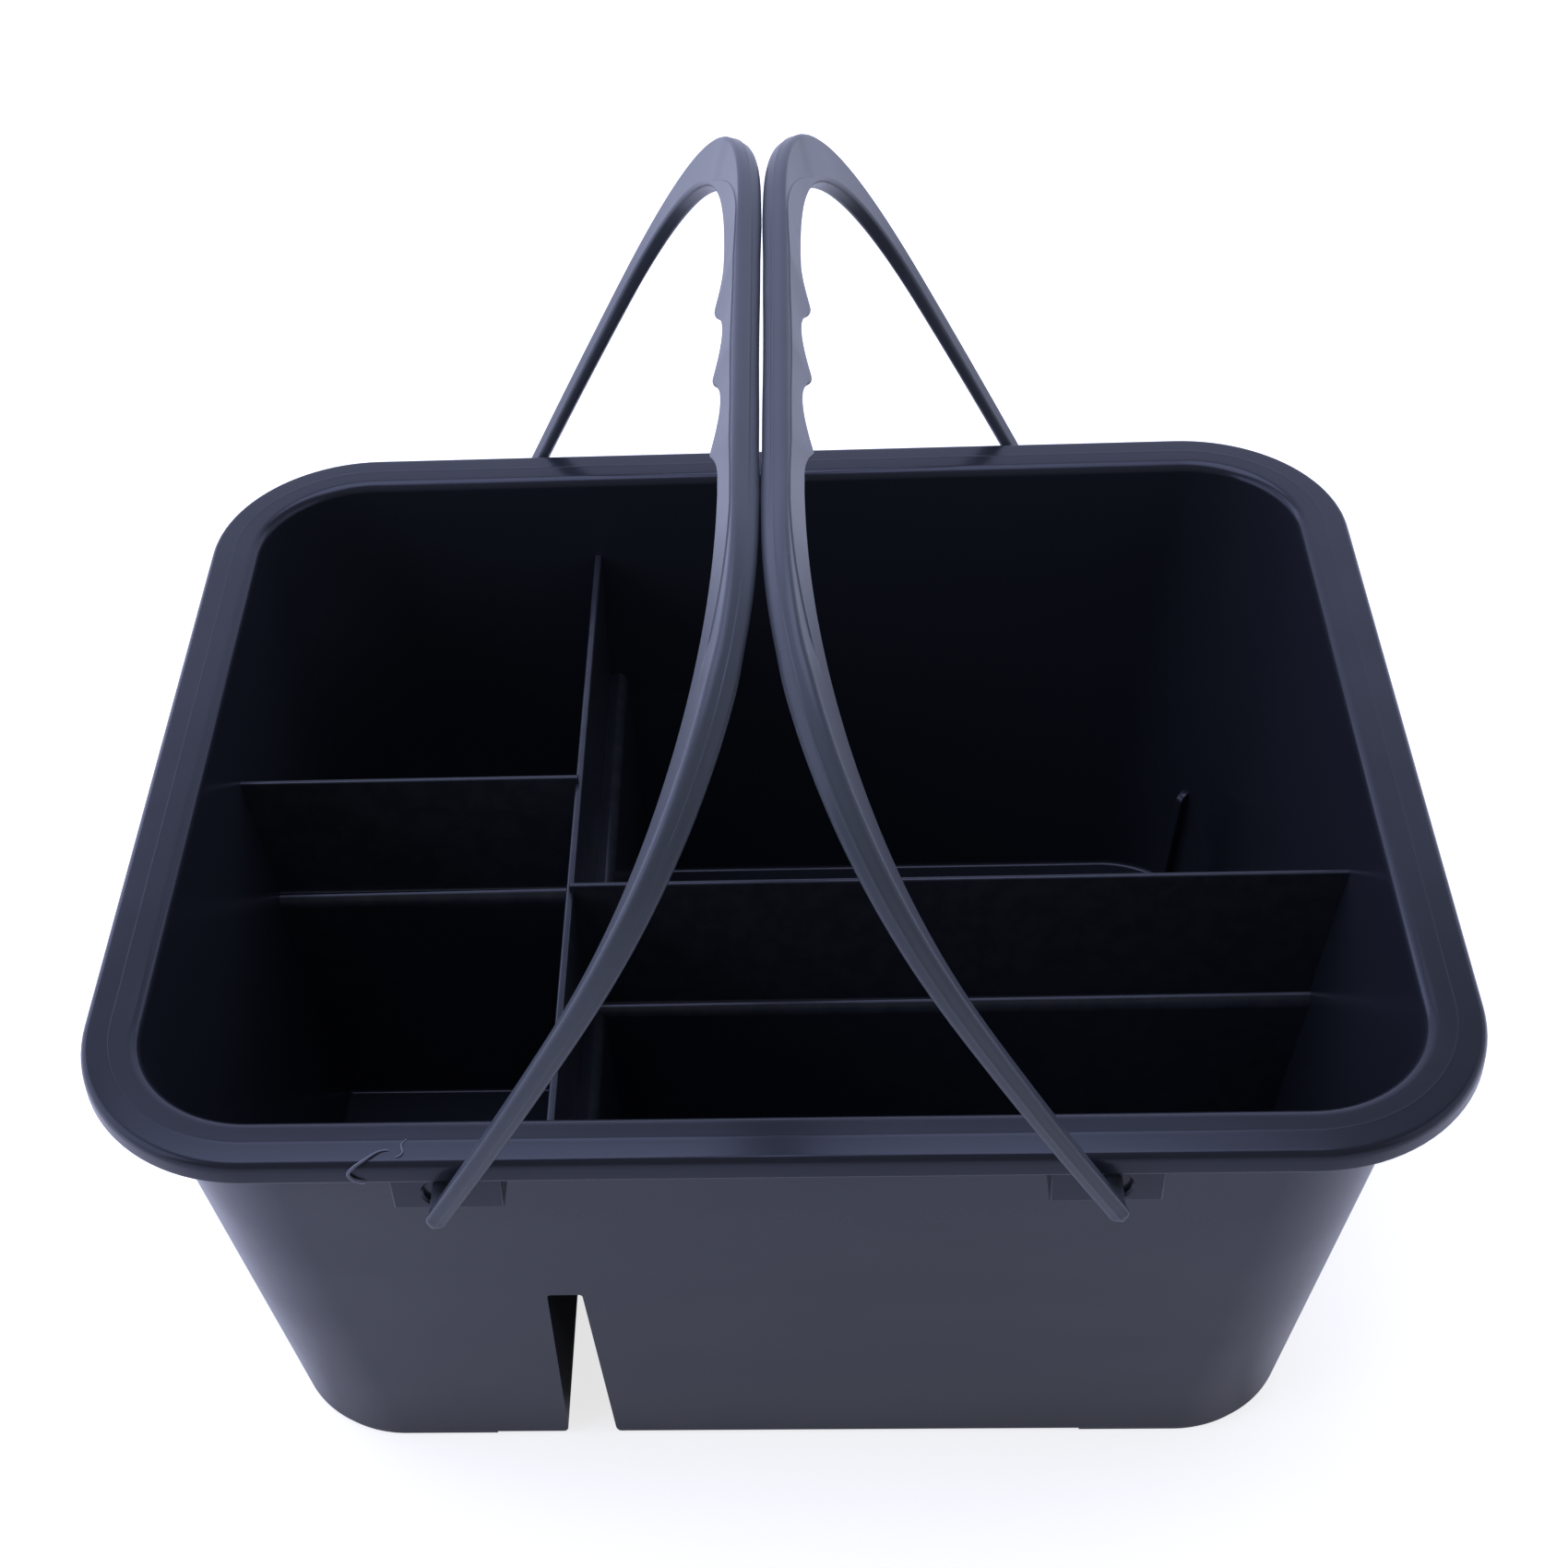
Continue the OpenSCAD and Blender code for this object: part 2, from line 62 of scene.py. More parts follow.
rim_low, rim_high = node_box("rim")
RIM_W = rim_high.x - rim_low.x
RIM_D = rim_high.y - rim_low.y
HEIGHT = rim_high.z
FOOT_H = node_box("tub_shell")[0].z

WALL = 2.0
# Distance of the wall from the rim's outer edge, at the top and at the base
OVERHANG = 11.8
BASE_INSET = 26.6
DRAFT = (BASE_INSET - OVERHANG) / (HEIGHT - FOOT_H)
SKIRT = 6.5
# Corner radii of the rim and of the base, seen from above
RIM_R = 44.0
BASE_R = 32.0
# Roundings of the rim's section: the mouth, and the outer edge across and down
MOUTH_R = 3.0
EDGE_R = 1.8
EDGE_DROP = 2.8
FLOOR_Z = FOOT_H + WALL
MOUTH_Z = HEIGHT - MOUTH_R
RIM_UNDER = HEIGHT - WALL

# Slot under the centre divider: width and height at its top, and how far each side leans out
CENTRE_X = -53.4
SLOT_W = 8.7
SLOT_H = 74.5
FLARE_LEFT = 1.1
FLARE_RIGHT = 3.4

# Centre divider: height of its ledges, and its web
CENTRE_LEDGE = 81.0
CENTRE_WEB_T = 2.0
CENTRE_WEB_TOP = 124.4

# Cross dividers: side of the tub, middle line, width of the base and height of its ledges
CROSS_DIVIDERS = {"left": (-1, 17.4, 9.4, 85.0), "right": (1, -24.4, 8.2, 82.0)}
CROSS_WEB_T = 1.5
CROSS_WEB_TOP = 126.6

# From a divider's ledges down to the hollow under them
ROOF = 3.0

hinge = {j["child"]: j["pos_m"] for j in frame["joints"]}
PIVOT_X = hinge["handle_right"][0] / MM
PIVOT_Z = hinge["handle_right"][2] / MM


# ---- modelling helpers ----

def clear():
    """Leaves edit mode and deselects everything."""
    if bpy.context.object and bpy.context.object.mode != "OBJECT":
        bpy.ops.object.mode_set(mode="OBJECT")
    bpy.ops.object.select_all(action="DESELECT")


def pick(obj):
    """Makes obj the only selected and the active object."""
    clear()
    obj.select_set(True)
    bpy.context.view_layer.objects.active = obj


def edit(obj):
    """Opens obj, and nothing else, in edit mode."""
    pick(obj)
    bpy.ops.object.mode_set(mode="EDIT")


def block(name, low, high):
    """A cube primitive between two corners."""
    clear()
    low, high = Vector(low), Vector(high)
    bpy.ops.mesh.primitive_cube_add(size=1, location=(low + high) / 2)
    obj = bpy.context.object
    obj.name = name
    obj.data.name = name
    obj.scale = high - low
    bpy.ops.object.transform_apply(location=True, rotation=True, scale=True)
    return obj


def tube(name, centre, radius, length, end_radius=None):
    """A cylinder or cone primitive along Y, from centre towards +Y."""
    if end_radius is None:
        end_radius = radius
    clear()
    bpy.ops.mesh.primitive_cone_add(
        vertices=48, radius1=radius, radius2=end_radius, depth=length,
        location=Vector(centre) + Vector((0, length / 2, 0)), rotation=(-math.pi / 2, 0, 0))
    obj = bpy.context.object
    obj.name = name
    obj.data.name = name
    bpy.ops.object.transform_apply(location=True, rotation=True, scale=True)
    return obj


def select(obj, kind, test):
    """In edit mode, selects only the verts, edges or faces that pass the test."""
    mesh = bmesh.from_edit_mesh(obj.data)
    for item in [*mesh.faces, *mesh.edges, *mesh.verts]:
        item.select = False
    for item in getattr(mesh, kind):
        if test(item):
            item.select_set(True)
    mesh.select_flush(True)
    bmesh.update_edit_mesh(obj.data)


def select_points(obj, chosen):
    """In edit mode, selects verts by their numbers, with what lies between them."""
    mesh = bmesh.from_edit_mesh(obj.data)
    mesh.verts.ensure_lookup_table()
    for item in [*mesh.faces, *mesh.edges, *mesh.verts]:
        item.select = False
    for i in chosen:
        mesh.verts[i].select = True
    mesh.select_flush(True)
    bmesh.update_edit_mesh(obj.data)


def selected_points(obj):
    """In edit mode, number and place of each selected vert."""
    mesh = bmesh.from_edit_mesh(obj.data)
    return [(v.index, v.co.copy()) for v in mesh.verts if v.select]


def shift(obj, test, offset):
    """In edit mode, moves the verts that pass the test."""
    select(obj, "verts", lambda v: test(v.co))
    bpy.ops.transform.translate(value=offset)


def bevel(obj, test, width, segments=4):
    """Rounds the edges whose two ends pass the test."""
    edit(obj)
    select(obj, "edges", lambda e: test(e.verts[0].co, e.verts[1].co))
    bpy.ops.mesh.bevel(offset=width, segments=segments, profile=0.5, affect="EDGES")
    clear()


def apply_modifier(obj, kind, **values):
    """Adds a modifier with these settings and applies it."""
    pick(obj)
    modifier = obj.modifiers.new(kind.lower(), kind)
    for key, value in values.items():
        setattr(modifier, key, value)
    bpy.ops.object.modifier_apply(modifier=modifier.name)


def cut(obj, cutter, operation="DIFFERENCE"):
    """Cuts with, or joins to, another closed piece, which is used up."""
    apply_modifier(obj, "BOOLEAN", object=cutter, operation=operation, solver="EXACT")
    bpy.data.objects.remove(cutter)


def bisect(obj, point, normal):
    """Trims off all that lies beyond a plane and closes the cut."""
    edit(obj)
    bpy.ops.mesh.select_all(action="SELECT")
    bpy.ops.mesh.bisect(plane_co=point, plane_no=normal, use_fill=True, clear_outer=True)
    clear()


def mirrored(obj, name, sx, sy):
    """A copy with its own mesh on another side of the tub."""
    twin = obj.copy()
    twin.data = obj.data.copy()
    twin.name = name
    twin.data.name = name
    bpy.context.scene.collection.objects.link(twin)
    pick(twin)
    twin.scale = (sx, sy, 1)
    bpy.ops.object.transform_apply(location=False, rotation=False, scale=True)
    return twin


def outward(obj):
    """Turns every face of a closed piece outwards."""
    edit(obj)
    bpy.ops.mesh.select_all(action="SELECT")
    bpy.ops.mesh.remove_doubles(threshold=0.0005)
    bpy.ops.mesh.normals_make_consistent(inside=False)
    clear()


def smooth(obj, angle=32):
    """Smooth shading in which the broad faces stay flat."""
    pick(obj)
    bpy.ops.object.shade_smooth_by_angle(angle=math.radians(angle))
    apply_modifier(obj, "WEIGHTED_NORMAL", mode="FACE_AREA", keep_sharp=True, weight=70)


def finish_piece(obj, body, slot, material, *nodes, angle=32):
    """Closes the modelling of a piece: faces, shading, metres, finish and body."""
    outward(obj)
    obj.data.transform(Matrix.Scale(MM, 4))
    smooth(obj, angle)
    obj.data.materials.clear()
    obj.data.materials.append(material)
    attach(obj, body)
    if nodes:
        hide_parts(*nodes)
    return obj


def finish_at_corners(obj, part, home, others):
    """Mirrors a piece of the tub from its home corner to the others, and finishes all four."""
    for corner, sx, sy in others:
        twin = mirrored(obj, f"{part}_{corner}_moulded", sx, sy)
        finish_piece(twin, "tub", "tub_plastic", tub_plastic, f"{part}_{corner}")
    obj.name = f"{part}_{home}_moulded"
    finish_piece(obj, "tub", "tub_plastic", tub_plastic, f"{part}_{home}")


# ---- finishes ----

class Nodes:
    """Adds and joins the shader nodes of one material."""

    def __init__(self, material):
        material.use_nodes = True
        self.tree = material.node_tree
        self.shader = self.tree.nodes["Principled BSDF"]
        self.place = self.add("ShaderNodeTexCoord").outputs["Object"]

    def add(self, kind, **values):
        node = self.tree.nodes.new(kind)
        for key, value in values.items():
            if hasattr(node, key):
                setattr(node, key, value)
            else:
                node.inputs[key.replace("_", " ")].default_value = value
        return node

    def join(self, output, entry):
        self.tree.links.new(output, entry)

    def spread(self, scale, turn=(0, 0, 0)):
        """Object coordinates, stretched and turned."""
        node = self.add("ShaderNodeMapping")
        node.inputs["Scale"].default_value = scale
        node.inputs["Rotation"].default_value = [math.radians(a) for a in turn]
        self.join(self.place, node.inputs["Vector"])
        return node.outputs["Vector"]

    def noise(self, scale, detail=3.0, rough=0.5, place=None):
        node = self.add("ShaderNodeTexNoise", Scale=scale, Detail=detail, Roughness=rough)
        self.join(place or self.place, node.inputs["Vector"])
        return node.outputs["Fac"]

    def remap(self, value, low, high, to_low, to_high):
        """Eases from to_low to to_high while the value goes from low to high."""
        node = self.add("ShaderNodeMapRange", interpolation_type="SMOOTHSTEP")
        for entry, number in zip(("From Min", "From Max", "To Min", "To Max"),
                                 (low, high, to_low, to_high)):
            node.inputs[entry].default_value = number
        self.join(value, node.inputs["Value"])
        return node.outputs["Result"]

    def math(self, operation, a, b=0):
        node = self.add("ShaderNodeMath", operation=operation)
        for entry, value in zip(node.inputs, (a, b)):
            if isinstance(value, (int, float)):
                entry.default_value = value
            else:
                self.join(value, entry)
        return node.outputs[0]

    def mix(self, factor, a, b):
        node = self.add("ShaderNodeMix", data_type="RGBA")
        colours = [s for s in node.inputs if s.type == "RGBA"]
        for entry, value in zip([node.inputs["Factor"], *colours], (factor, a, b)):
            if isinstance(value, (int, float, tuple)):
                entry.default_value = value
            else:
                self.join(value, entry)
        return [s for s in node.outputs if s.type == "RGBA"][0]

    def bump(self, height, distance, strength=1.0, under=None):
        node = self.add("ShaderNodeBump", Strength=strength, Distance=distance)
        self.join(height, node.inputs["Height"])
        if under:
            self.join(under, node.inputs["Normal"])
        return node.outputs["Normal"]


def moulded_plastic(name, base, pale, roughness, scuffs, sheen_tint=(0.82, 0.86, 1.0)):
    """Satin moulded polypropylene: even colour, soft waviness, fine grain and light scuffs."""
    cloudiness = 0.12
    rub = 0.2
    wear = 0.06
    scuff_roughness = 0.15

    material = bpy.data.materials.new(name)
    n = Nodes(material)

    cloud = n.noise(9, 4)
    fine = n.noise(160, 3)
    grain = n.noise(1500, 2)

    # faint long scratches in two directions, and short rubbed marks between them
    long_marks = n.noise(30, 2, place=n.spread((1, 14, 14), (0, 20, 35)))
    cross_marks = n.noise(34, 2, place=n.spread((16, 1, 16), (25, 0, -20)))
    long_marks = n.remap(long_marks, 0.70, 0.76, 0, 1)
    cross_marks = n.remap(cross_marks, 0.71, 0.77, 0, 1)
    patches = n.remap(n.noise(14, 3), 0.50, 0.66, 0, 1)
    marks = n.math("MULTIPLY", n.math("MAXIMUM", long_marks, cross_marks), patches)
    marks = n.math("MULTIPLY", marks, scuffs)

    # raised edges are rubbed a little paler
    edge = n.add("ShaderNodeNewGeometry").outputs["Pointiness"]
    rubbed = n.remap(edge, 0.53, 0.60, 0, rub)
    rubbed = n.math("MULTIPLY", rubbed, n.remap(fine, 0.35, 0.65, 0.3, 1))

    tone = n.mix(n.remap(cloud, 0.3, 0.7, 0, cloudiness), (*base, 1), (*pale, 1))
    worn = tuple(c + wear for c in pale)
    tone = n.mix(n.math("MAXIMUM", marks, rubbed), tone, (*worn, 1))
    n.join(tone, n.shader.inputs["Base Color"])

    gloss = n.remap(n.noise(22, 4), 0.3, 0.7, roughness - 0.015, roughness + 0.02)
    gloss = n.math("ADD", gloss, n.math("MULTIPLY", marks, scuff_roughness))
    n.join(gloss, n.shader.inputs["Roughness"])

    # waves of a thin wall, then the fine texture of the mould
    normal = n.bump(n.noise(26, 1, place=n.spread((0.7, 1, 1))), 0.0009, 0.6)
    normal = n.bump(fine, 0.00003, 0.30, normal)
    normal = n.bump(grain, 0.00002, 0.15, normal)
    n.join(normal, n.shader.inputs["Normal"])

    n.shader.inputs["IOR"].default_value = 1.5
    n.shader.inputs["Specular Tint"].default_value = (*sheen_tint, 1)
    material.diffuse_color = (*base, 1)
    return material


tub_plastic = moulded_plastic("tub_plastic", (0.0225, 0.0262, 0.0345), (0.0252, 0.0292, 0.0385),
                              0.23, 0.0)
handle_plastic = moulded_plastic("handle_plastic", (0.0880, 0.1000, 0.1200),
                                 (0.0940, 0.1070, 0.1300), 0.33, 0.7,
                                 sheen_tint=(0.74, 0.77, 0.80))
# paler plastic of the flash thread: partly the whitening of stretched plastic, partly a painted
# highlight that lightens the thin thread
stretched_plastic_painted_highlight = moulded_plastic("stretched_plastic_painted_highlight", (0.17, 0.18, 0.22),
                                    (0.20, 0.21, 0.25), 0.35, 0.0)


# ---- tub body: wall, floor and rolled rim in one closed moulding ----

CORNER_STEPS = 24
SKIRT_BOTTOM = HEIGHT - SKIRT
# The rim's top is highest along a soft line this far in from its edge, and slopes off from it
CREST = 7.0
CREST_SLOPE = 0.042
CREST_SOFT = 2.0
# Fine witness line of the mould along the crest: height, and half its width
WITNESS_H = 0.05
WITNESS_W = 0.15


def wall_inset(z):
    """Distance from the rim's outer edge to the outside of the wall."""
    return OVERHANG + (HEIGHT - z) * DRAFT


def wall_corner(z):
    """Corner radius of the outside of the wall."""
    top_r = RIM_R - wall_inset(MOUTH_Z)
    return BASE_R + (top_r - BASE_R) * (z - FOOT_H) / (MOUTH_Z - FOOT_H)


def crest_drop(u):
    """How far the rim's top lies below its crest line, at the distance u from its edge."""
    return CREST_SLOPE * (math.hypot(u - CREST, CREST_SOFT) - CREST_SOFT)


def arc(u, z, r, start, end, steps):
    """Points around a centre, as (distance in from the rim's edge, height)."""
    points = []
    for i in range(steps + 1):
        a = math.radians(start + (end - start) * i / steps)
        points.append((u + r * math.cos(a), z + r * math.sin(a)))
    return points


def tub_profile():
    """Section of the moulding, from the underside up the wall, over the rim and down inside.
    Distances run in from the rim's outer edge."""
    under_r = 1.2
    hem_r = 0.95
    nook_r = 0.8
    floor_r = 1.5
    wall_heights = (25, 50, 75, 100, 125)
    low = FOOT_H + under_r
    edge_u = EDGE_R + 0.2
    edge_z = HEIGHT - crest_drop(edge_u) - EDGE_DROP
    mouth_u = wall_inset(MOUTH_Z) + WALL - MOUTH_R
    mouth_z = MOUTH_Z - crest_drop(mouth_u)
    floor_z = FLOOR_Z + floor_r

    points = arc(wall_inset(low) + under_r, low, under_r, 270, 180, 5)
    points += [(wall_inset(z), z) for z in wall_heights]
    points += arc(mouth_u, MOUTH_Z, MOUTH_R - WALL, 0, 90, 5)
    points += arc(WALL + nook_r, RIM_UNDER - nook_r, nook_r, 90, 180, 3)
    points += arc(WALL - hem_r, SKIRT_BOTTOM + hem_r, hem_r, 0, -90, 3)
    points += arc(hem_r, SKIRT_BOTTOM + hem_r, hem_r, 270, 180, 3)
    points += [(edge_u - EDGE_R * math.cos(math.radians(a)),
                edge_z + EDGE_DROP * math.sin(math.radians(a))) for a in range(0, 91, 9)]
    points += [(u, HEIGHT - crest_drop(u)) for u in (3, 4, 5, 6, CREST - WITNESS_W)]
    points += [(CREST, HEIGHT + WITNESS_H)]
    points += [(u, HEIGHT - crest_drop(u)) for u in (CREST + WITNESS_W, 8, 9, 10)]
    points += arc(mouth_u, mouth_z, MOUTH_R, 90, 0, 10)
    points += [(wall_inset(z) + WALL, z) for z in reversed(wall_heights)]
    points += arc(wall_inset(floor_z) + WALL + floor_r, floor_z, floor_r, 180, 270, 5)
    return points


def corner_radius(u, z):
    """Corner radius of the moulding's outline at a point of the section."""
    if z > MOUTH_Z - 1:
        return RIM_R - u
    return wall_corner(z) - (u - wall_inset(z))


def tub_moulding():
    """A plane with rounded corners, drawn up, over and down along the section."""
    profile = tub_profile()
    u, z = profile[0]
    r = corner_radius(u, z)
    clear()
    bpy.ops.mesh.primitive_plane_add(size=1, location=(0, 0, z))
    obj = bpy.context.object
    obj.name = "tub_body"
    obj.data.name = "tub_body"
    obj.scale = (RIM_W - 2 * u, RIM_D - 2 * u, 1)
    bpy.ops.object.transform_apply(location=True, rotation=True, scale=True)
    edit(obj)
    bpy.ops.mesh.select_all(action="SELECT")
    bpy.ops.mesh.bevel(offset=r, offset_type="OFFSET", segments=CORNER_STEPS, profile=0.5,
                       affect="VERTICES")
    for next_u, next_z in profile[1:]:
        next_r = corner_radius(next_u, next_z)
        bpy.ops.mesh.extrude_region_move()
        ring = selected_points(obj)
        growth = next_r / r
        move = -(next_u - u) - (next_r - r)
        for sx, sy in ((1, 1), (1, -1), (-1, 1), (-1, -1)):
            select_points(obj, [i for i, p in ring if p.x * sx > 0 and p.y * sy > 0])
            bpy.ops.transform.resize(
                value=(growth, growth, 1),
                center_override=(sx * (RIM_W / 2 - u - r), sy * (RIM_D / 2 - u - r), z))
            bpy.ops.transform.translate(value=(sx * move, sy * move, next_z - z))
        select_points(obj, [i for i, p in ring])
        u, z, r = next_u, next_z, next_r
    clear()
    outward(obj)
    return obj


# ---- hollow dividers ----

def slot_left(z):
    """Left side of the slot, in the space under the centre divider."""
    return CENTRE_X - SLOT_W / 2 - FLARE_LEFT * (1 - z / SLOT_H)


def slot_right(z):
    """Right side of the slot."""
    return CENTRE_X + SLOT_W / 2 + FLARE_RIGHT * (1 - z / SLOT_H)


def leaning_block(name, left_at, right_at, bottom, top, start, end):
    """A block along Y whose two sides lean, given as functions of the height."""
    obj = block(name, (left_at(top), start, bottom), (right_at(top), end, top))
    middle = (left_at(top) + right_at(top)) / 2
    edit(obj)
    shift(obj, lambda p: p.z < bottom + NEAR and p.x < middle,
          (left_at(bottom) - left_at(top), 0, 0))
    shift(obj, lambda p: p.z < bottom + NEAR and p.x > middle,
          (right_at(bottom) - right_at(top), 0, 0))
    clear()
    return obj


def flared_foot(obj, ground, radius, depth, steps=5):
    """Draws the bottom face down and out in a quarter circle to the ground, then straight
    down by depth."""
    low = min(v.co.z for v in obj.data.vertices)
    xs = [v.co.x for v in obj.data.vertices if v.co.z < low + NEAR]
    middle = (min(xs) + max(xs)) / 2
    edit(obj)
    select(obj, "faces", lambda f: max(v.co.z for v in f.verts) < low + NEAR)
    out, z = 0.0, ground + radius
    for step in range(1, steps + 2):
        a = math.radians(90 * min(step, steps) / steps)
        new_out = radius * (1 - math.cos(a))
        new_z = ground + radius * (1 - math.sin(a)) - (depth if step > steps else 0)
        bpy.ops.mesh.extrude_region_move(TRANSFORM_OT_translate={"value": (0, 0, new_z - z)})
        ring = selected_points(obj)
        for side in (-1, 1):
            select_points(obj, [i for i, p in ring if (p.x - middle) * side > 0])
            bpy.ops.transform.translate(value=(side * (new_out - out), 0, 0))
        select_points(obj, [i for i, p in ring])
        out, z = new_out, new_z
    clear()


def along_y(a, b):
    """Whether an edge between two points lies along Y."""
    return abs(a.x - b.x) < NEAR and abs(a.z - b.z) < NEAR


def hollow(name, left_at, right_at, top, start, end, edge_r, ground):
    """Closed shape of the space under a divider: leaning sides, round top edges, and sides
    that turn out at the ground. It goes on below the ground, so that it cuts cleanly."""
    top_r = 1.0
    below = 6
    obj = leaning_block(name, left_at, right_at, ground + edge_r, top, start, end)
    bevel(obj, lambda a, b: along_y(a, b) and a.z > top - NEAR, top_r, 4)
    flared_foot(obj, ground, edge_r, below)
    return obj


def centre_hollow(top):
    """Space under the centre divider, which goes on through the front and rear wall."""
    edge_r = 3.0
    return hollow("hollow", slot_left, slot_right, top, -RIM_D, RIM_D, edge_r, FOOT_H)


def divider(name, left_at, right_at, base_top, web_middle, web_t, web_top, start, end):
    """Base with round shoulders, a web that stands on it, and small fillets between them and
    at the floor. It is drawn along Y."""
    foot_r = 0.9
    sunk = 1
    ledge_rise = 0.3
    shoulder_r = 2.4
    fillet_r = 0.4
    crown_r = web_t * 0.36
    obj = leaning_block(name, left_at, right_at, FLOOR_Z + foot_r, base_top, start, end)
    left, right = left_at(base_top), right_at(base_top)
    middle = (left + right) / 2
    edit(obj)
    select(obj, "faces", lambda f: min(v.co.z for v in f.verts) > base_top - NEAR)
    bpy.ops.mesh.extrude_region_move()
    ring = selected_points(obj)
    for side, edge in ((-1, left), (1, right)):
        select_points(obj, [i for i, p in ring if (p.x - middle) * side > 0])
        bpy.ops.transform.translate(value=(web_middle + side * web_t / 2 - edge, 0, ledge_rise))
    select_points(obj, [i for i, p in ring])
    bpy.ops.mesh.extrude_region_move(
        TRANSFORM_OT_translate={"value": (0, 0, web_top - base_top - ledge_rise)})
    clear()
    flared_foot(obj, FLOOR_Z, foot_r, sunk)
    for height, radius, segments in ((base_top + ledge_rise, fillet_r, 3),
                                     (base_top, shoulder_r, 8), (web_top, crown_r, 4)):
        bevel(obj, lambda a, b: along_y(a, b) and abs(a.z - height) < NEAR, radius, segments)
    return obj


def trim_to_wall(obj, half, sign, keep=1):
    """Ends a piece in the middle of the leaning wall: keeps its part inside the tub (1) or
    outside it (-1)."""
    bisect(obj, (0, sign * (half - wall_inset(0) - WALL / 2), 0),
           (0, sign * keep, -DRAFT * keep))


def centre_divider():
    """Divider from the front wall to the rear wall."""
    obj = divider("centre_divider", lambda z: slot_left(z) - WALL, lambda z: slot_right(z) + WALL,
                  CENTRE_LEDGE, CENTRE_X, CENTRE_WEB_T, CENTRE_WEB_TOP, -RIM_D / 2, RIM_D / 2)
    trim_to_wall(obj, RIM_D / 2, 1)
    trim_to_wall(obj, RIM_D / 2, -1)
    cut(obj, centre_hollow(CENTRE_LEDGE - ROOF))
    return obj


def cross_sides(middle, w, base_top, inset):
    """Sides of a cross divider's base, moved in by inset."""
    flare = 1.0
    return (lambda z: middle - w / 2 + inset - flare * (1 - z / base_top),
            lambda z: middle + w / 2 - inset + flare * (1 - z / base_top))


def quarter_turn(obj):
    """Turns what was drawn along Y to lie along X."""
    pick(obj)
    obj.rotation_euler = (0, 0, math.pi / 2)
    bpy.ops.object.transform_apply(location=False, rotation=True, scale=False)


def cross_hollow(sign, middle, w, base_top):
    """Space under a cross divider, from the centre divider to near the end wall."""
    edge_r = 0.8
    clearance = 1.5
    wall = RIM_W / 2 - wall_inset(FLOOR_Z) - WALL - clearance
    if sign < 0:
        near, far = -wall, slot_left(0) - WALL
    else:
        near, far = slot_right(0) + WALL, wall
    obj = hollow("hollow", *cross_sides(middle, w, base_top, WALL), base_top - ROOF,
                 -far, -near, edge_r, FOOT_H)
    quarter_turn(obj)
    return obj


def cross_divider(name, sign, middle, w, base_top):
    """Divider from the centre divider to the left (-1) or right (1) end wall."""
    core_top = 80.0
    core_bottom = -10
    start, end = sorted((-CENTRE_X, -sign * RIM_W / 2))
    obj = divider(name, *cross_sides(middle, w, base_top, 0), base_top, middle, CROSS_WEB_T,
                  CROSS_WEB_TOP, start, end)
    trim_to_wall(obj, RIM_W / 2, -sign)
    quarter_turn(obj)
    # it ends inside the centre divider's own walls
    core = leaning_block("core", lambda z: slot_left(z) - WALL / 2,
                         lambda z: slot_right(z) + WALL / 2, core_bottom, core_top, -RIM_D, RIM_D)
    cut(obj, core)
    cut(obj, cross_hollow(sign, middle, w, base_top))
    return obj


tub_body = tub_moulding()
cut(tub_body, centre_hollow(SLOT_H))
for base in CROSS_DIVIDERS.values():
    cut(tub_body, cross_hollow(*base))
finish_piece(tub_body, "tub", "tub_plastic", tub_plastic, "tub_shell", "rim")

finish_piece(centre_divider(), "tub", "tub_plastic", tub_plastic, "centre_base", "centre_web")

for side, base in CROSS_DIVIDERS.items():
    finish_piece(cross_divider(side + "_divider", *base), "tub", "tub_plastic", tub_plastic,
                 side + "_base", side + "_web")


# ---- pivot pads ----

PAD_FACE_T = 3.0
BORE_R = 2.28
# Wider mouth of the bore, how deep it goes, and the slope that leads into it
BORE_MOUTH_R = 4.2
BORE_MOUTH_DEPTH = 1.6
BORE_SLOPE = 0.6


def pivot_pad():
    """Pad of the front right pivot: face plate with the bore, and two cheeks to the wall."""
    edge_r = 0.5
    into_rim = 0.8
    # the block and its cutters reach past the wall, or stand clear of the pad, by these
    past_wall = -110
    far_past_wall = -100
    clear_by = 5
    bore_length = 12

    low, high = node_box("pad_front_right")
    obj = block("pad_front_right", (low.x, low.y, low.z), (high.x, past_wall, high.z + into_rim))
    front = low.y + NEAR
    bevel(obj, lambda a, b: a.y < front and b.y < front
          and (min(a.z, b.z) < low.z + NEAR or abs(a.x - b.x) < NEAR), edge_r, 4)
    cut(obj, block("inside", (low.x + WALL, low.y + PAD_FACE_T, low.z - clear_by),
                   (high.x - WALL, far_past_wall, high.z + clear_by)))
    trim_to_wall(obj, RIM_D / 2, -1, -1)

    # the top stays inside the rounding between wall and rim
    shell_r = MOUTH_R - WALL / 2
    rounding_u = wall_inset(MOUTH_Z) + WALL - MOUTH_R
    slant = shell_r * math.sqrt(0.5)
    bisect(obj, (0, rounding_u + slant - RIM_D / 2, MOUTH_Z + slant), (0, 1, 1))

    outside = (PIVOT_X, low.y - clear_by, PIVOT_Z)
    cut(obj, tube("bore", outside, BORE_R, bore_length))
    cut(obj, tube("counterbore", outside, BORE_MOUTH_R, clear_by + BORE_MOUTH_DEPTH))
    cut(obj, tube("mouth", (PIVOT_X, low.y - 0.02, PIVOT_Z), BORE_MOUTH_R + BORE_SLOPE,
                  BORE_SLOPE, BORE_MOUTH_R))
    return obj


finish_at_corners(pivot_pad(), "pad", "front_right",
                  (("front_left", -1, 1), ("rear_right", 1, -1), ("rear_left", -1, -1)))


# ---- corner ribs ----

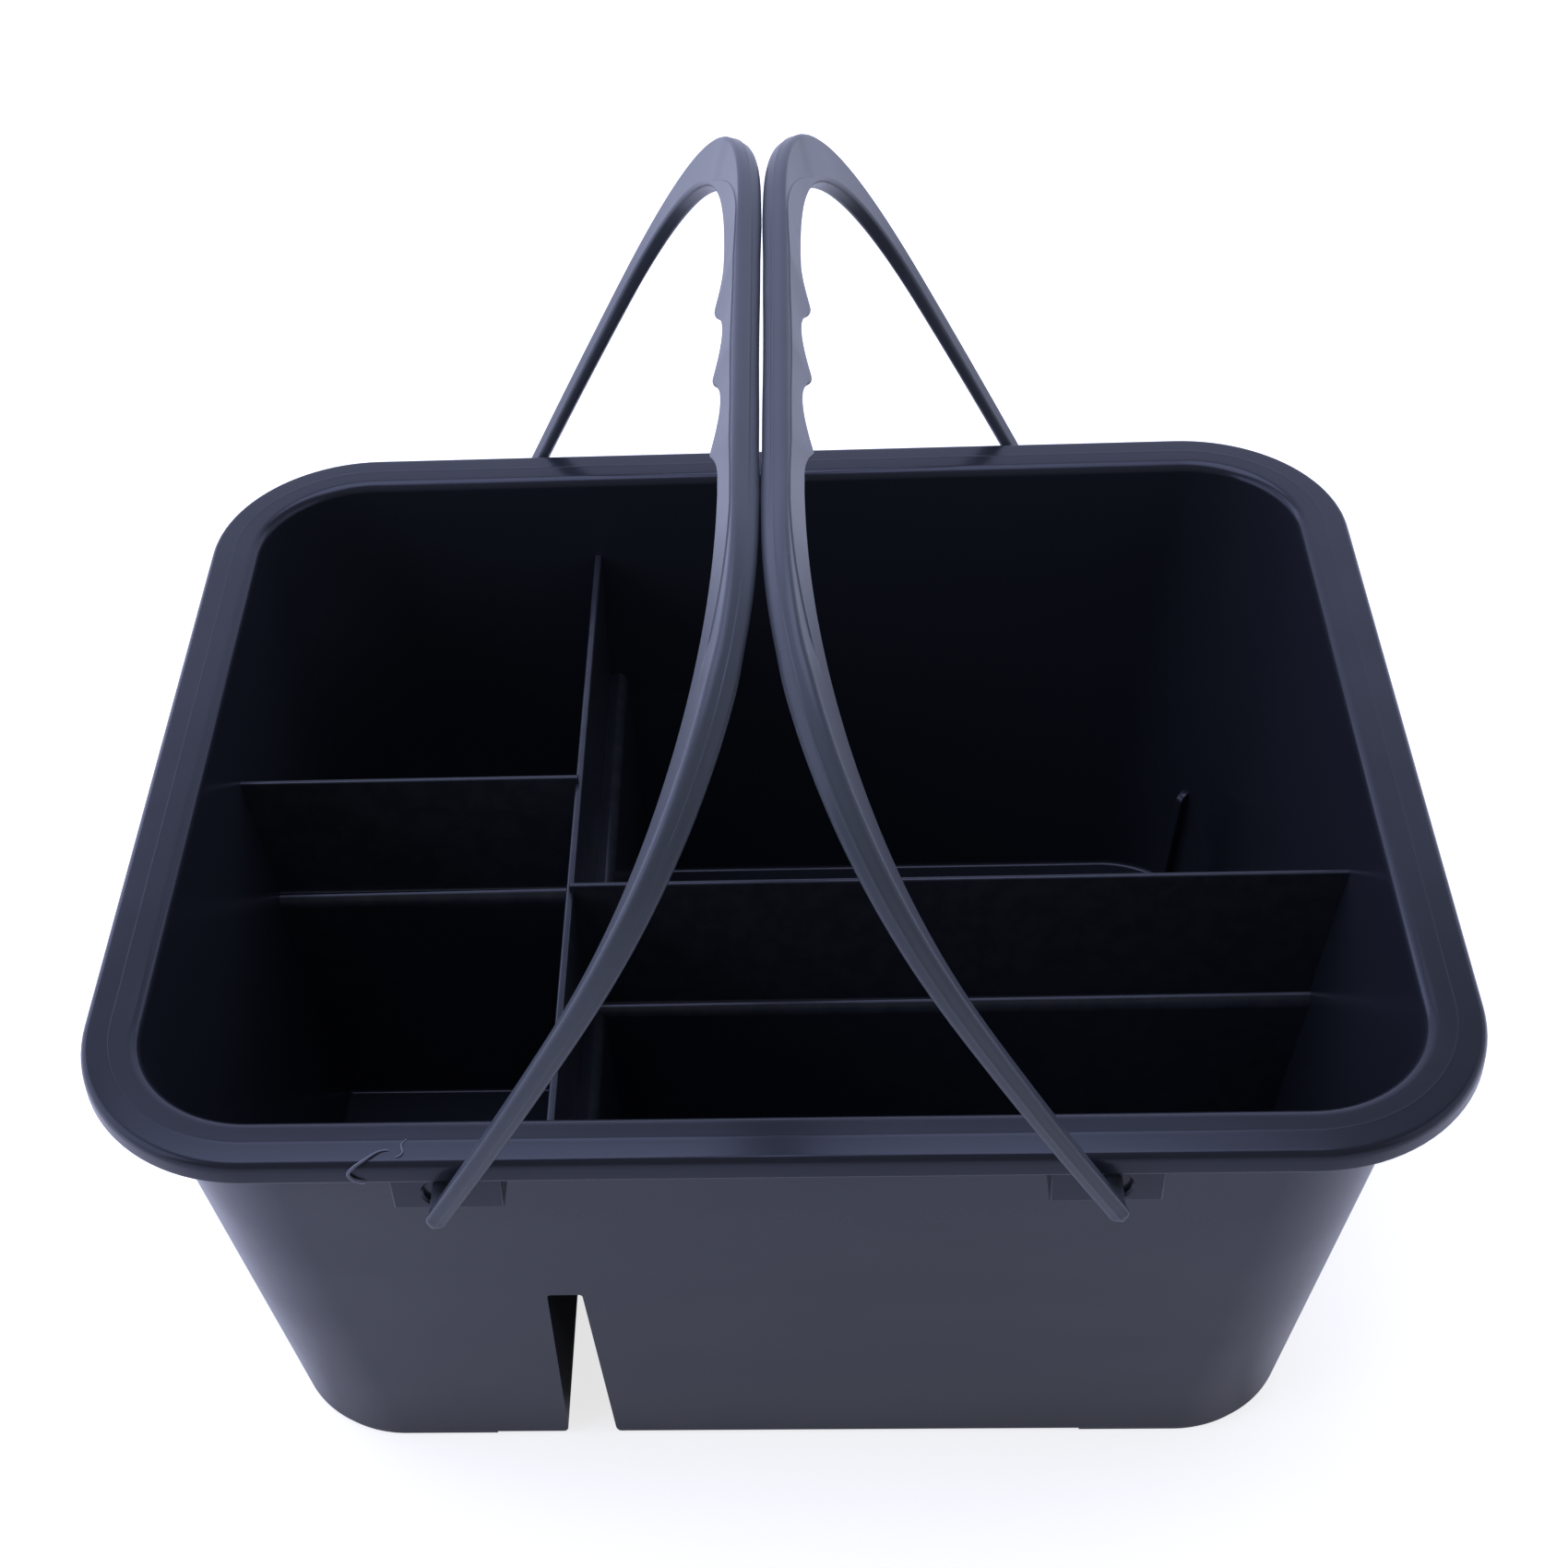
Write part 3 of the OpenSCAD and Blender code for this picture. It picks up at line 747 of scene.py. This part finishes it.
def corner_rib():
    """Rib of the rear right corner, drawn along X and turned into the corner's diagonal."""
    rib_t = 2.6
    depth = 3.5
    top = 39.5
    edge_r = 0.5
    sunk = 1
    run = 12
    diagonal = math.sqrt(2)

    def corner_x(z):
        """Inside of the wall on the diagonal, from the rim's square corner."""
        r = wall_corner(z) - WALL
        return -diagonal * (wall_inset(z) + WALL) - r * (diagonal - 1)

    low_x = corner_x(FLOOR_Z) - depth
    lean = corner_x(top) - corner_x(FLOOR_Z)
    obj = block("rib_rear_right", (low_x, -rib_t / 2, FLOOR_Z - sunk),
                (low_x + run, rib_t / 2, top))
    edit(obj)
    shift(obj, lambda p: p.z > top - NEAR, (lean, 0, 0))
    clear()
    bevel(obj, lambda a, b: a.z > top - NEAR and b.z > top - NEAR
          and max(a.x, b.x) < low_x + lean + NEAR, depth * 0.9, 8)
    bevel(obj, lambda a, b: abs(a.y - b.y) < NEAR and max(a.x, b.x) < corner_x(top) + 0.5,
          edge_r, 3)
    bisect(obj, (corner_x(0) + WALL / 2, 0, 0), (1, 0, -diagonal * DRAFT))
    pick(obj)
    obj.rotation_euler = (0, 0, math.radians(45))
    obj.location = (RIM_W / 2, RIM_D / 2, 0)
    bpy.ops.object.transform_apply(location=True, rotation=True, scale=False)
    return obj


finish_at_corners(corner_rib(), "rib", "rear_right",
                  (("rear_left", -1, 1), ("front_right", 1, -1), ("front_left", -1, -1)))


# ---- flash left by moulding on the rim's front ----

def flash_curl():
    """Thread of flash that curls over the skirt by the front left pad, and a scrap beside it."""
    thread = [(-90.5, -135.5, 144.4), (-92.4, -135.8, 144.9), (-93.8, -135.8, 146.4),
              (-93.9, -135.9, 148.0), (-92.6, -135.6, 149.4), (-90.6, -134.6, 150.3),
              (-88.8, -133.0, 150.3), (-87.4, -131.7, 150.15), (-86.2, -131.2, 150.1),
              (-85.0, -131.2, 150.05)]
    scrap = [(-83.2, -133.2, 149.95), (-82.0, -132.8, 150.1), (-81.3, -131.6, 150.15),
             (-82.9, -129.6, 150.1), (-81.3, -128.2, 150.05)]
    thread_r = 0.36
    curve = bpy.data.curves.new("flash_curl", "CURVE")
    curve.dimensions = "3D"
    curve.bevel_depth = thread_r
    curve.bevel_resolution = 3
    curve.use_fill_caps = True
    for route, thick_end, thin_end in ((thread, 1.5, 0.5), (scrap, 0.6, 0.5)):
        spline = curve.splines.new("NURBS")
        spline.points.add(len(route) - 1)
        for i, (point, place) in enumerate(zip(spline.points, route)):
            point.co = (*place, 1)
            point.radius = thick_end + (thin_end - thick_end) * i / (len(route) - 1)
        spline.use_endpoint_u = True
        spline.order_u = 4
    obj = bpy.data.objects.new("flash_curl", curve)
    bpy.context.scene.collection.objects.link(obj)
    pick(obj)
    bpy.ops.object.convert(target="MESH")
    return bpy.context.object


# the flash thread's paler finish is partly stretched whitening and partly painted highlight
finish_piece(flash_curl(), "tub", "tub_plastic", stretched_plastic_painted_highlight)


# ---- handles ----

# A bail is drawn standing up: u runs to the rear and v up, both from its pivot axis.
LEG_SIDE = RIM_D / 2 + 0.8
REACH = 151.5
# Straight part of a leg above the pivot, and its round tip below
LEG_H = 62.0
LEG_TIP = 3.6
LEG_W = 5.2
LEG_BULGE = 3.1
LEG_T = 4.8
GRIP_T = 7.2
GRIP_W = 9.4
# Finger ridges: height, distance between them, and radius of their tips
FINGER_RIDGE = 4.55
PITCH = 28.5
BLUNT = 0.9
# Straight part of the grip's top, each way from the middle
GRIP_RUN = 58.0
# Powers of the arch's curve, inside and outside: 2 is an ellipse, more is squarer
ARCH_SQUARE = 2.42
SHOULDER_SQUARE = 2.6
# Share of the thickness that is left at the inside of the grip and of a leg
GRIP_TAPER = 0.8
LEG_TAPER = 0.66
PARTING_RIDGE = 0.8


def bulge_at(v):
    """How far, from 0 to 1, a leg has swung out at this height."""
    return 1 - ((LEG_H - max(v, 0)) / LEG_H) ** 2


def leg_inside(v):
    return LEG_SIDE + 0.7 * LEG_BULGE * bulge_at(v)


def leg_outside(v):
    return LEG_SIDE + LEG_W + LEG_BULGE * bulge_at(v)


def grip_lower(u):
    """Lower edge of the grip, with three blunt finger ridges."""
    flank = PITCH / 2 - 0.8
    nearest = PITCH * max(-1, min(1, round(u / PITCH)))
    away = math.hypot(u - nearest, BLUNT) - BLUNT
    t = min(1, away / flank)
    return REACH - GRIP_W - FINGER_RIDGE * (1 - t) ** 2


def thick_at(v):
    """Thickness of the bail, which grows from the leg to the grip."""
    return LEG_T + (GRIP_T - LEG_T) * max(0, min(1, v / REACH)) ** 1.5


def ease(t):
    """Smooth step from 0 to 1."""
    t = max(0.0, min(1.0, t))
    return t * t * (3 - 2 * t)


def half_stations(crossing):
    """Stations from the middle of the grip to the end of a leg: inside point, outside point,
    thickness, share of the side face that the raised hand pad covers, and the pad's height
    from 1 to 0. Where the pad ends, its edge has crossed this share of the face."""
    grip_steps = 84
    arch_steps = 56
    leg_steps = 22
    pad_end = 0.34
    tip_pinch = 0.16
    run = 1.5 * PITCH
    rows = []
    for i in range(grip_steps + 1):
        f = i / grip_steps
        rows.append(((f * run, grip_lower(f * run)), (f * GRIP_RUN, REACH), GRIP_T, 1.0, 1.0))
    inner = 2 / ARCH_SQUARE
    outer = 2 / SHOULDER_SQUARE
    for i in range(1, arch_steps + 1):
        a = math.radians(90 * (1 - i / arch_steps))
        out_u = GRIP_RUN + (leg_outside(LEG_H) - GRIP_RUN) * math.cos(a) ** outer
        out_v = LEG_H + (REACH - LEG_H) * math.sin(a) ** outer
        in_u = run + (leg_inside(LEG_H) - run) * math.cos(a) ** inner
        in_v = LEG_H + (REACH - GRIP_W - LEG_H) * math.sin(a) ** inner
        raised = max(0.0, 1 - i / (pad_end * arch_steps))
        rows.append(((in_u, in_v), (out_u, out_v), thick_at(in_v),
                     1 - crossing * (1 - raised), ease(raised * 4)))
    for i in range(leg_steps - 1, -1, -1):
        v = LEG_H * i / leg_steps
        rows.append(((leg_inside(v), v), (leg_outside(v), v), thick_at(v), 1 - crossing, 0.0))
    for degrees in (0, 12, 24, 36, 48, 60, 70, 80):
        a = math.radians(degrees)
        v = -LEG_TIP + LEG_T / 2 * (1 - math.sin(a))
        pinch = LEG_W * tip_pinch * (1 - math.cos(a))
        rows.append(((LEG_SIDE + pinch, v), (LEG_SIDE + LEG_W - pinch, v),
                     LEG_T * math.cos(a), 1 - crossing, 0.0))
    return rows


def handle_ring(inside, outside, thick, cover, raised):
    """Closed ring around one station, as (thickness offset, u, v). The side faces carry a
    raised hand pad, and the outer face a fine parting ridge."""
    leg_edge_r = 1.1
    grip_edge_r = 1.9
    inner_edge_r = 1.3
    pad_lift = 0.28
    soft = 0.35

    w = math.dist(inside, outside)
    along = ((outside[0] - inside[0]) / w, (outside[1] - inside[1]) / w)
    half = thick / 2
    swell = (thick - LEG_T) / (GRIP_T - LEG_T)
    edge = min(leg_edge_r + (grip_edge_r - leg_edge_r) * max(0, swell), 0.8 * half, 0.3 * w)
    thin = half * (LEG_TAPER + (GRIP_TAPER - LEG_TAPER) * ease(swell))
    inner_edge = min(inner_edge_r, 0.9 * thin, 0.3 * w)
    face = w - 0.35 * PARTING_RIDGE
    lift = pad_lift * raised
    low = half - lift

    start = inner_edge
    stop = face - edge
    bound = start + cover * (stop - start) - 0.5
    bound = max(start + soft, min(stop - soft, bound))

    def face_at(p):
        """Half the thickness on the drafted side face."""
        return thin + (half - thin) * (p - start) / (stop - start)

    quarter = [math.radians(90 * k / 4) for k in range(5)]
    side = [(inner_edge * (1 - math.cos(a)), thin - inner_edge * (1 - math.sin(a)))
            for a in quarter]
    # step down from the hand pad
    side += [(bound - soft, face_at(bound - soft)), (bound - 0.12, face_at(bound) - 0.08 * lift),
             (bound + 0.12, face_at(bound) - 0.92 * lift),
             (bound + soft, face_at(bound + soft) - lift)]
    side += [(face - edge * (1 - math.sin(a)), low - edge * (1 - math.cos(a))) for a in quarter]
    # parting ridge
    side += [(face + 0.12, 0.55), (face + 0.16, 0.34), (w, 0.2)]
    ring = [(-y, x) for x, y in side] + [(y, x) for x, y in reversed(side)]
    return [(t, inside[0] + along[0] * p, inside[1] + along[1] * p) for t, p in ring]


def bail(name, lean, pivot_x):
    """Handle swept station by station through its rings, leaned over to its place at rest."""
    rear_crossing = 1.0
    front_crossing = 0.45
    rear = half_stations(rear_crossing)
    front = [((-i[0], i[1]), (-o[0], o[1]), *rest)
             for i, o, *rest in reversed(half_stations(front_crossing)[1:])]
    mesh = bmesh.new()
    loops = [[mesh.verts.new(p) for p in handle_ring(*row)] for row in front + rear]
    for a, b in zip(loops, loops[1:]):
        for i in range(len(a)):
            j = (i + 1) % len(a)
            mesh.faces.new((a[i], b[i], b[j], a[j]))
    mesh.faces.new(loops[0])
    mesh.faces.new(loops[-1][::-1])
    data = bpy.data.meshes.new(name)
    mesh.to_mesh(data)
    mesh.free()
    obj = bpy.data.objects.new(name, data)
    bpy.context.scene.collection.objects.link(obj)
    outward(obj)
    for side in (1, -1):
        cut(obj, peg(side), "UNION")
    obj.data.transform(Matrix.Translation((pivot_x, 0, PIVOT_Z)) @ Matrix.Rotation(lean, 4, "Y"))
    return obj


def peg(side):
    """Pivot peg of one leg, with a bevelled end."""
    peg_r = 2.2
    end_bevel = 0.5
    short_by = 1.0
    start = LEG_SIDE + LEG_W / 2
    end = RIM_D / 2 - WALL - PAD_FACE_T - short_by
    obj = tube("peg", (0, end, 0), peg_r, start - end)
    bevel(obj, lambda a, b: max(a.y, b.y) < end + NEAR, end_bevel, 3)
    pick(obj)
    obj.scale = (1, side, 1)
    bpy.ops.object.transform_apply(location=False, rotation=False, scale=True)
    outward(obj)
    return obj


# The two bails lean together until their grips nearly touch. Sharp corners would overlap by
# this much, and the rounded ones don't meet.
CORNER_OVERLAP = 0.6
grip_edge = REACH - PARTING_RIDGE
lean = (math.asin((PIVOT_X + CORNER_OVERLAP / 2) / math.hypot(grip_edge, GRIP_T / 2))
        - math.atan(GRIP_T / 2 / grip_edge))

for side, sx in (("left", -1), ("right", 1)):
    handle = bail(side + "_bail", -sx * lean, sx * PIVOT_X)
    finish_piece(handle, "handle_" + side, "handle_plastic", handle_plastic, side + "_handle",
                 angle=40)

# the feet keep their own shape
for node in ("foot_front_left", "foot_front_right", "foot_rear_left", "foot_rear_right"):
    foot = frame["nodes"][node]
    foot.data.materials.clear()
    foot.data.materials.append(tub_plastic)


# ---- floor, light and camera ----

LAMP_TINT = (0.62, 0.655, 1.0)
# colour of the floor's painted glow, which shows only in reflections
REFLECTED_GLOW_TINT = (0.77, 0.79, 1.0)
WORLD_LEVEL = 0.15


def pale_floor():
    """White floor that keeps the caddy's shadow, and glows softly, as painted light, where the
    caddy reflects it.
    """
    glow = 0.42
    front_share = 0.1
    # these bring the sides of the caddy's base to 1
    across_scale = 7.4
    deep_scale = 9.1

    clear()
    bpy.ops.mesh.primitive_plane_add(size=12, location=(0, 0, 0))
    obj = bpy.context.object
    obj.name = "studio_floor"
    material = bpy.data.materials.new("studio_floor")
    n = Nodes(material)
    n.shader.inputs["Base Color"].default_value = (0.93, 0.93, 0.935, 1)
    n.shader.inputs["Roughness"].default_value = 0.9
    n.shader.inputs["Specular IOR Level"].default_value = 0.1
    path = n.add("ShaderNodeLightPath")
    n.join(n.mix(path.outputs["Is Camera Ray"], (*REFLECTED_GLOW_TINT, 1), (1.0, 1.0, 1.0, 1)),
           n.shader.inputs["Emission Color"])

    # painted reflection and painted shadow: seen only in reflections, it glows beside and behind
    # the caddy, fades out under it, and hardly glows in front of it
    axes = n.add("ShaderNodeSeparateXYZ")
    n.join(n.place, axes.inputs[0])
    across = n.math("MULTIPLY", n.math("ABSOLUTE", axes.outputs["X"]), across_scale)
    deep = n.math("MULTIPLY", n.math("ABSOLUTE", axes.outputs["Y"]), deep_scale)
    beside = n.remap(n.math("MAXIMUM", across, deep), 0.85, 1.1, 0, glow)
    behind = n.remap(axes.outputs["Y"], -0.30, -0.17, front_share, 1)
    reflected = n.math("MULTIPLY", beside, behind)

    # seen directly, it turns fully white where no shadow of the caddy reaches
    distance = n.add("ShaderNodeVectorMath", operation="LENGTH")
    n.join(n.place, distance.inputs[0])
    white = n.remap(distance.outputs["Value"], 0.35, 1.3, 0.75, 1.0)
    seen = n.math("ADD", n.math("MULTIPLY", path.outputs["Is Camera Ray"], white),
                  n.math("MULTIPLY", path.outputs["Is Glossy Ray"], reflected))
    n.join(seen, n.shader.inputs["Emission Strength"])
    obj.data.materials.append(material)


def softbox(name, place, aim, width, height, radiance):
    """A large area lamp; radiance 1 looks white from any distance."""
    lamp = bpy.data.lights.new(name, "AREA")
    lamp.shape = "RECTANGLE"
    lamp.size = width
    lamp.size_y = height
    lamp.energy = radiance * math.pi * width * height
    lamp.color = LAMP_TINT
    obj = bpy.data.objects.new(name, lamp)
    bpy.context.scene.collection.objects.link(obj)
    obj.location = place
    obj.rotation_euler = (Vector(place) - Vector(aim)).to_track_quat("Z", "Y").to_euler()
    obj.visible_camera = False


def studio_world():
    """Plain grey surroundings that look white behind the caddy."""
    world = bpy.data.worlds.new("studio")
    bpy.context.scene.world = world
    world.use_nodes = True
    tree = world.node_tree
    background = tree.nodes["Background"]
    background.inputs["Color"].default_value = (1, 1, 1, 1)
    path = tree.nodes.new("ShaderNodeLightPath")
    level = tree.nodes.new("ShaderNodeMix")
    level.inputs["A"].default_value = WORLD_LEVEL
    level.inputs["B"].default_value = 1.0
    tree.links.new(path.outputs["Is Camera Ray"], level.inputs["Factor"])
    tree.links.new(level.outputs["Result"], background.inputs["Strength"])


def studio_camera():
    """Camera in front and above, as a person looks down into the caddy."""
    place = (0.00946, -0.46315, 0.55664)
    pitch, yaw, roll = (math.radians(a) for a in (45.345, -4.054, 3.831))
    forward = Vector((math.sin(yaw) * math.cos(pitch), math.cos(yaw) * math.cos(pitch),
                      -math.sin(pitch)))
    across = Vector((math.cos(yaw), -math.sin(yaw), 0))
    down = forward.cross(across)
    right_axis = math.cos(roll) * across + math.sin(roll) * down
    down_axis = -math.sin(roll) * across + math.cos(roll) * down
    data = bpy.data.cameras.new("camera")
    data.sensor_width = 36
    data.lens = 54.78
    data.shift_x = 0.0571
    data.shift_y = 0.0888
    obj = bpy.data.objects.new("camera", data)
    bpy.context.scene.collection.objects.link(obj)
    turn = Matrix((right_axis, -down_axis, -forward)).transposed().to_4x4()
    obj.matrix_world = Matrix.Translation(place) @ turn
    bpy.context.scene.camera = obj


pale_floor()
# place, aim, width, height and radiance of each lamp
softbox("overhead", (-0.2, 0.42, 1.9), (-0.2, 0.42, 0.0), 1.3, 1.67, 2.5)
softbox("rear_panel", (0.0, 2.2, 1.05), (0, 0, 0.2), 5.2, 2.0, 0.85)
softbox("left_panel", (-1.4, 0.1, 0.75), (0, 0, 0.15), 3.0, 1.4, 1.5)
softbox("right_panel", (1.6, 0.1, 0.65), (0, 0, 0.15), 3.0, 1.2, 0.54)
studio_world()
studio_camera()
bpy.context.scene.view_settings.view_transform = "Standard"
